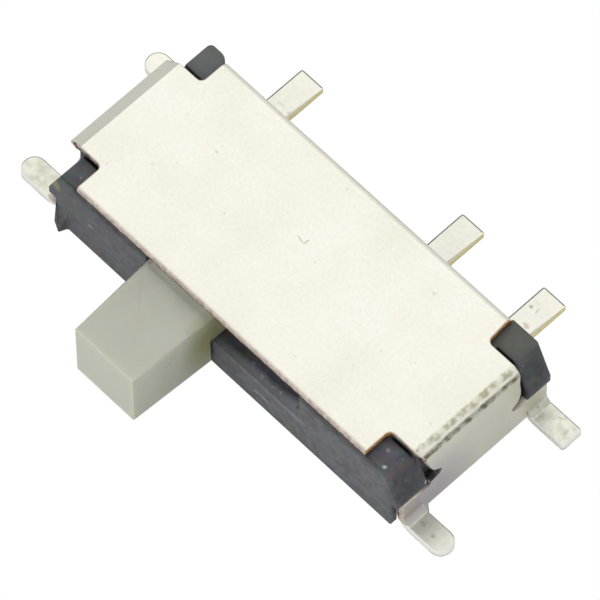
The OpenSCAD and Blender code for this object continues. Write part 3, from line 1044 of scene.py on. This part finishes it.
@dataclass
class Base:
    """The dark moulded base: block, posts, slot, cavity, rails and pegs."""

    front_wall_t: float = 0.285
    back_wall_t: float = 0.28
    end_wall_t: float = 0.5
    floor_z: float = 0.295
    sill_z: float = 0.6
    slot_x: Ends = (-1.38, 1.43)
    rail_h: float = 0.065
    rail_w: float = 0.25
    ledge_z: float = 0.43
    end_x: float = 3.11
    post_x: float = 3.23
    post_z: float = 0.58
    flank_y: float = -0.79
    flank_h: float = 0.28
    post_foot_h: float = 0.13
    post_slant: float = 0.25
    corner_x: float = 2.70
    corner_y: float = 0.91
    back_corner_y: float = 0.97
    shoulder_y: float = 0.86
    flash_w: float = 0.04
    corner_skew: float = 0.14
    skewed_out: float = 0.04
    sill_r: float = 0.2
    worn_r: float = 0.17
    worn_out_r: float = 0.07
    worn_to_x: float = -2.9
    worn_lean: float = 0.07
    post_inset: float = 0.01
    slot_end_y: float = 0.84
    edge_r: float = 0.022
    # The gate stub's width, reach and height, and how far it tapers along each.
    stub: Point = (0.25, 0.13, 0.48)
    stub_taper: Point = (0.08, 0.09, 0.14)
    front_y: float = -1.325
    back_y: float = 1.21
    ledge_y: float = 1.33
    rib_t: float = 0.13
    recess_d: float = 0.16
    recess_w: float = 0.55
    peg_x: float = 1.5
    peg_r: float = 0.375
    peg_chamfer: float = 0.1
    top_z: float = 1.31

    def __post_init__(self) -> None:
        """Reads the posts' and the pegs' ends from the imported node."""
        low, high = node_box("base")
        self.peg_z, self.post_back_y = low.z, high.y
        self.inner_x = self.post_inset - self.corner_x

    def flare(self, post: Workpiece) -> None:
        """Widens a front post downwards, towards the middle of the switch.

        Args:
            post: the post.
        """
        for rows in (1, 2):
            post.slice((0, 0, self.post_z + rows * self.flank_h), (0, 0, 1))
        flank = self.flank_y + self.corner_y
        low = place(y=-self.corner_y, z=(self.post_z, self.post_z + self.flank_h))
        post.move(low, (0, flank, 0))
        middle = place(y=-self.corner_y, z=self.post_z + 2 * self.flank_h)
        post.move(middle, (0, flank / 2, 0))

    def wear(self, post: Workpiece, back_y: float) -> None:
        """Rounds the two uprights at the back of the worn post.

        Args:
            post: the post.
            back_y: where its back face is.
        """
        outer_x = (-self.post_x, self.worn_to_x)
        for x, radius in ((outer_x, self.worn_out_r), (self.inner_x, self.worn_r)):
            post.pick(Kind.EDGE, place(x=x, y=back_y))
            for edge in bmesh.from_edit_mesh(post.obj.data).edges:
                if abs(edge.verts[0].co.z - edge.verts[1].co.z) < NEAR:
                    edge.select_set(False)
            post.round_off(radius, 6)

    def post(self, side: int, front: float, back: float) -> Workpiece:
        """Makes one corner post, whose outer face leans in.

        Args:
            side: -1 at the left end and 1 at the right one.
            front: where it begins along Y.
            back: where it ends along Y.

        Returns:
            The post.
        """
        at_back = front > 0
        skewed, worn = at_back and side > 0, at_back and side < 0
        inner = side * (self.corner_x - (self.corner_skew if skewed else self.post_inset))
        outer = side * (self.post_x + (self.skewed_out if skewed else 0))
        ends = (min(inner, outer), max(inner, outer))
        post = Workpiece.block("post", ends, (front, back), (self.post_z, self.top_z))
        post.slice((0, 0, self.post_z + self.post_foot_h), (0, 0, 1))
        lean = self.post_slant - (self.worn_lean if worn else 0)
        post.move(place(x=outer, z=self.top_z), (-side * lean, 0, 0))
        if not at_back:
            self.flare(post)
        if worn:
            self.wear(post, back)
        return post

    def posts(self) -> list[Workpiece]:
        """Makes the four corner posts.

        Returns:
            The posts.
        """
        made = []
        for side in (-1, 1):
            back_y = self.post_back_y + (self.flash_w if side < 0 else 0)
            made.append(self.post(side, self.front_y, -self.corner_y))
            made.append(self.post(side, self.back_corner_y, back_y))
        return made

    def corner_cuts(self) -> list[Workpiece]:
        """Makes the blocks that clear the corners and the recesses behind the legs.

        Returns:
            The blocks to cut away.
        """
        made = []
        for side in (-1, 1):
            ends = tuple(sorted((side * self.corner_x, side * (self.end_x + PAST))))
            deep = tuple(sorted((side * (self.end_x - self.recess_d), side * (self.end_x + PAST))))
            for y in ((self.front_y - PAST, -self.shoulder_y), (self.shoulder_y, self.ledge_y + PAST)):
                made.append(Workpiece.block("cut", ends, y, (self.post_z, self.top_z + PAST)))
            for y in (self.front_y + self.rib_t, self.back_y - self.rib_t - self.recess_w):
                made.append(Workpiece.block("cut", deep, (y, y + self.recess_w), (-PAST, self.post_z)))
        return made

    def lead_slots(self) -> list[Workpiece]:
        """Makes the blocks that open the slots where the leads lie in the underside."""
        y = (self.slot_end_y, self.ledge_y + LAP)
        return [Workpiece.block("cut", part.lead_span(), y, (-LAP, part.sheet_t)) for part in TERMINALS]

    def inside_cuts(self) -> list[Workpiece]:
        """Makes the blocks that open the cavity and the knob's slot.

        Returns:
            The blocks to cut away.
        """
        in_x = self.end_x - self.end_wall_t
        in_front, in_back = self.front_y + self.front_wall_t, self.back_y - self.back_wall_t
        roof = self.top_z + PAST
        return [
            Workpiece.block("cut", (-in_x, in_x), (in_front, in_back), (self.floor_z, roof)),
            Workpiece.block("cut", self.slot_x, (self.front_y - PAST, in_front + LAP), (self.sill_z, roof)),
        ]

    def rails(self) -> list[Workpiece]:
        """Makes the two rails that the carriage runs on.

        Returns:
            The rails.
        """
        in_x = self.end_x - self.end_wall_t + LAP / 2
        front, back = self.front_y + self.front_wall_t, self.back_y - self.back_wall_t
        z = (self.floor_z - LAP / 2, self.floor_z + self.rail_h)
        spans = ((front - LAP / 2, front + self.rail_w), (back - self.rail_w, back + LAP / 2))
        return [Workpiece.block("rail", (-in_x, in_x), y, z) for y in spans]

    def pegs(self) -> list[Workpiece]:
        """Makes the two locating pegs with their chamfered tips.

        Returns:
            The pegs.
        """
        made = []
        for x in (-self.peg_x, self.peg_x):
            peg = Workpiece.rod("peg", (x, 0, self.peg_z), self.peg_r, LAP - self.peg_z)
            peg.pick(Kind.EDGE, place(z=self.peg_z)).round_off(self.peg_chamfer, 3)
            made.append(peg)
        return made

    def gate_stub(self) -> Workpiece:
        """Makes the torn stub of the mould's gate at the left front corner.

        Returns:
            The stub.
        """
        (width, reach, height), (side_in, corner_in, top_in) = self.stub, self.stub_taper
        left, right, tip_y = -self.end_x, -self.end_x + width, self.front_y - reach
        stub = Workpiece.block("stub", (left, right), (tip_y, self.front_y + LAP / 2), (0, height))
        for corner, by in (
            (place(y=tip_y, z=height), (0, top_in, 0)),
            (place(x=left, y=tip_y), (0, corner_in, 0)),
            (place(x=right, y=tip_y), (-side_in, 0, 0)),
        ):
            stub.move(corner, by)
        return stub

    def build(self, finishes: Finishes) -> None:
        """Joins and cuts the blocks, rounds the edges and dresses the base.

        Args:
            finishes: the materials to choose from.
        """
        x = (-self.end_x, self.end_x)
        block = Workpiece.block("moulded_base", x, (self.front_y, self.back_y), (0, self.top_z))
        ledge = Workpiece.block("ledge", x, (self.back_y - LAP, self.ledge_y), (0, self.ledge_z))
        block.combine("UNION", [ledge])
        block.combine("DIFFERENCE", self.corner_cuts())
        block.combine("UNION", self.posts())
        block.combine("DIFFERENCE", [*self.inside_cuts(), *self.lead_slots()])
        block.combine("UNION", [*self.rails(), *self.pegs(), self.gate_stub()])
        block.clean()
        sill = place(x=self.slot_x, y=self.front_y, z=self.sill_z)
        block.pick(Kind.EDGE, sill).round_off(self.sill_r, 5)
        block.soften(self.edge_r, 3, 30)
        block.dress(finishes.black_resin).done(Body.HOUSING, "base", "black_resin")


@dataclass
class Terminal:
    """One stamped terminal: its pad inside the base and its lead down to the board."""

    node: str
    side: int
    pad_w: float = 1.3
    lead_w: float = 0.37
    roll_w: float = 0.045
    sheet_t: float = 0.12
    pad_z: float = 0.3
    pad_y: Ends = (-0.5, 0.6)
    bend_r: float = 0.12
    slope: float = 42.0
    start_y: float = 0.62
    tip_r: float = 0.035
    edge_r: float = 0.028

    def lead_span(self) -> Ends:
        """Finds the lead's left edge and its right one, which has a rolled lip.

        Returns:
            Where they are along X, in millimetres.
        """
        low, high = node_box(self.node)
        left = low.x if self.side < 0 else high.x - self.lead_w
        return left, left + self.lead_w + self.roll_w

    def build(self, finishes: Finishes) -> None:
        """Draws the strip, bends it down to the board and gives it its thickness.

        Args:
            finishes: the materials to choose from.
        """
        tip_y = node_box(self.node)[1].y
        left, right = self.lead_span()
        pad_x = (left, left + self.pad_w) if self.side < 0 else (right - self.pad_w, right)
        strip = Workpiece.block("lead_" + self.node, pad_x, self.pad_y, self.pad_z)
        for x in (left, right):
            if pad_x[0] + NEAR < x < pad_x[1] - NEAR:
                strip.slice((x, 0, 0), (1, 0, 0))
        strip.pick(Kind.EDGE, place(x=(left, right), y=self.pad_y[1], z=self.pad_z))
        angle = math.radians(self.slope)
        drop = self.pad_z - self.sheet_t
        arc_y, arc_z = self.bend_r * math.sin(angle), self.bend_r * (1 - math.cos(angle))
        low_r = self.bend_r / 2
        low_y, low_z = low_r * math.sin(angle), low_r * (1 - math.cos(angle))
        run_z = drop - arc_z - low_z
        run_y = run_z / math.tan(angle)
        strip.push((0, self.start_y - self.pad_y[1], 0))
        strip.spin((0, self.start_y, self.pad_z - self.bend_r), (1, 0, 0), -self.slope, 4)
        strip.push((0, run_y, -run_z))
        foot_y = self.start_y + arc_y + run_y + low_y
        strip.spin((0, foot_y, self.sheet_t + low_r), (1, 0, 0), self.slope, 4)
        strip.push((0, tip_y - foot_y, 0))
        strip.pick(Kind.VERT, place(y=tip_y)).round_off(self.tip_r, 3, corners=True)
        strip.thicken(self.sheet_t, finishes)
        upper = place(x=right, y=(foot_y, tip_y), z=self.sheet_t)
        strip.pick(Kind.EDGE, upper).round_off(self.roll_w, 1, material=1)
        strip.soften(self.edge_r, 2, 50, material=1)
        strip.done(Body.HOUSING, self.node, "tinned_brass", crease=19)


TERMINALS = (Terminal("left_terminal", -1), Terminal("common_terminal", 1), Terminal("right_terminal", 1))


@dataclass
class Slider:
    """The pale slider: knob, neck and carriage in one moulding."""

    root_w: float = 1.2
    tip_w: float = 1.06
    knob_back_y: float = -1.365
    knob_top: float = 1.2
    neck_z: float = 0.64
    carriage_y: Ends = (-1.0, 0.89)
    flange_inset: float = 0.12
    flange_top: float = 0.58
    floor_z: float = 0.38
    pocket: Point = (1.04, 0.35, 0.49)
    boss_z: float = 0.4
    boss_r: float = 0.15
    boss_h: float = 0.2
    edge_r: float = 0.012

    def build(self, finishes: Finishes) -> None:
        """Shapes the knob, joins the neck and the carriage to it, and dresses the slider.

        Args:
            finishes: the materials to choose from.
        """
        low, high = node_box("slider")
        middle = (low.x + high.x) / 2
        half_w = self.root_w / 2
        front, back = self.carriage_y
        root_x = (middle - half_w, middle + half_w)
        knob = Workpiece.block("slider_knob", root_x, (low.y, self.knob_back_y), (low.z, self.knob_top))
        for side in (-1, 1):
            corners = place(x=middle + side * half_w, y=low.y)
            knob.move(corners, (side * (self.tip_w / 2 - half_w), 0, 0))
        neck_y = (self.knob_back_y, front + LAP)
        neck = Workpiece.block("neck", root_x, neck_y, (self.neck_z, self.knob_top))
        carriage = Workpiece.block("carriage", root_x, self.carriage_y, (self.floor_z, high.z))
        flange_y = (front + self.flange_inset, back - self.flange_inset)
        flange = Workpiece.block("flange", (low.x, high.x), flange_y, (self.floor_z, self.flange_top))
        reach_x, reach_y, pocket_top = self.pocket
        pocket_x = (middle - reach_x, middle + reach_x)
        pocket = Workpiece.block("pocket", pocket_x, (-reach_y, reach_y), (0, pocket_top))
        knob.combine("UNION", [neck, carriage, flange])
        knob.combine("DIFFERENCE", [pocket])
        boss = Workpiece.rod("boss", (middle, 0, self.boss_z), self.boss_r, self.boss_h)
        knob.combine("UNION", [boss])
        knob.clean()
        knob.soften(self.edge_r, 2, 30)
        knob.dress(finishes.natural_resin).done(Body.CARRIAGE, "slider", "natural_resin")


def direction(turn: float, lift: float) -> Vector:
    """Gives the direction from the switch at a turn from the front and a lift, both in radians."""
    return Vector((math.sin(turn) * math.cos(lift), -math.cos(turn) * math.cos(lift), math.sin(lift)))


@dataclass(frozen=True)
class Softbox:
    """One soft lamp on its stand."""

    name: str
    azimuth: float
    elevation: float
    size: float
    power: float
    distance: float = 0.3
    mirrored: bool = True

    def build(self) -> None:
        """Sets the lamp up, aimed at the switch."""
        turn, lift = math.radians(self.azimuth), math.radians(self.elevation)
        aim = direction(turn, lift)
        lamp = bpy.data.lights.new(self.name, "AREA")
        lamp.shape = "DISK"
        lamp.size = self.size
        lamp.energy = self.power
        lamp_object = bpy.data.objects.new(self.name, lamp)
        bpy.context.scene.collection.objects.link(lamp_object)
        lamp_object.visible_glossy = self.mirrored
        lamp_object.location = aim * self.distance
        lamp_object.rotation_euler = aim.to_track_quat("Z", "Y").to_euler()


@dataclass
class Studio:
    """The plain pale floor, the soft light and the camera."""

    azimuth: float = 46.4586
    elevation: float = 62.156
    roll: float = -0.6165
    distance: float = 120.0
    target: Point = (0.2338, -0.1411, 0.7)
    lens: float = 559.67
    sensor: float = 36.0
    clip: Ends = (0.01, 2.0)
    floor_size: float = 0.6
    floor_gap: float = 0.01
    paper: str = "D2D2D0"
    paper_seen: float = 1.0
    paper_mirrored: float = 0.1
    sky_diffuse: float = 0.45
    sky_mirrored: float = 0.52
    lamps: tuple[Softbox, ...] = (
        Softbox("key_softbox", 226, 62, 0.28, 0.115),
        Softbox("fill_softbox", -5, 35, 0.4, 0.68, mirrored=False),
        Softbox("side_softbox", 105, 18, 0.25, 0.32, mirrored=False),
        Softbox("back_softbox", 205, 25, 0.25, 0.05),
    )

    def camera(self) -> None:
        """Makes the camera: a long lens from above the knob's right."""
        turn, lift, roll = (math.radians(a) for a in (self.azimuth, self.elevation, self.roll))
        back = direction(turn, lift)
        right = Vector((math.cos(turn), math.sin(turn), 0))
        up = back.cross(right)
        level = Matrix((right, up, back)).transposed().to_4x4()
        data = bpy.data.cameras.new("camera")
        data.lens = self.lens
        data.sensor_width = self.sensor
        data.clip_start, data.clip_end = self.clip
        camera = bpy.data.objects.new("camera", data)
        bpy.context.scene.collection.objects.link(camera)
        camera.matrix_world = level @ Matrix.Rotation(roll, 4, "Z")
        camera.location = (Vector(self.target) + back * self.distance) * MM
        bpy.context.scene.camera = camera

    def floor(self) -> None:
        """Lays a white floor just under the pegs, which keeps a faint shadow and is clear from below."""
        clear_bench()
        level = CAD_BOX[0].z - self.floor_gap * MM
        bpy.ops.mesh.primitive_plane_add(size=self.floor_size, location=(0, 0, level))
        floor = bpy.context.object
        floor.name = "floor"
        material = bpy.data.materials.new("white_paper")
        wiring = Wiring(material)
        seen, through, mirrored = wiring.rays()
        white_share = wiring.math("MULTIPLY_ADD", seen, self.paper_seen, through)
        white_share = wiring.math("MULTIPLY_ADD", mirrored, self.paper_mirrored, white_share)
        paper = wiring.add("BsdfDiffuse", {"Color": linear(self.paper)})[0]
        white = wiring.add("Emission", {"Strength": 1.0})[0]
        mixed = wiring.add("MixShader", None, {0: white_share, 1: paper, 2: white})[0]
        below = wiring.add("NewGeometry")["Backfacing"]
        gone = wiring.add("BsdfTransparent")[0]
        shown = wiring.add("MixShader", None, {0: below, 1: mixed, 2: gone})[0]
        wiring.add("OutputMaterial", None, {"Surface": shown})
        floor.data.materials.append(material)

    def light(self) -> None:
        """Sets a plain surround, which shows white, and the soft lamps."""
        world = bpy.data.worlds.new("studio")
        bpy.context.scene.world = world
        wiring = Wiring(world)
        seen, through, mirrored = wiring.rays()
        plain = wiring.ramp(mirrored, 0, 1, self.sky_diffuse, self.sky_mirrored)
        strength = wiring.math("MAXIMUM", wiring.math("MAXIMUM", seen, through), plain)
        sky = wiring.add("Background", {"Color": linear("FFFFFF")}, {"Strength": strength})[0]
        wiring.add("OutputWorld", None, {"Surface": sky})
        for lamp in self.lamps:
            lamp.build()

    def build(self) -> None:
        """Sets the studio up."""
        self.camera()
        self.floor()
        self.light()
        bpy.context.scene.view_settings.view_transform = "Standard"


def main() -> None:
    """Builds the switch and its studio."""
    logging.basicConfig(level=logging.INFO, format="%(name)s: %(message)s")
    finishes = Finishes.make()
    Cover().build(finishes)
    Base().build(finishes)
    for terminal in TERMINALS:
        terminal.build(finishes)
    Slider().build(finishes)
    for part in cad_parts["contact_spring"].material_slots:
        part.material = finishes.bronze
    Studio().build()


if __name__ == "__main__":
    main()
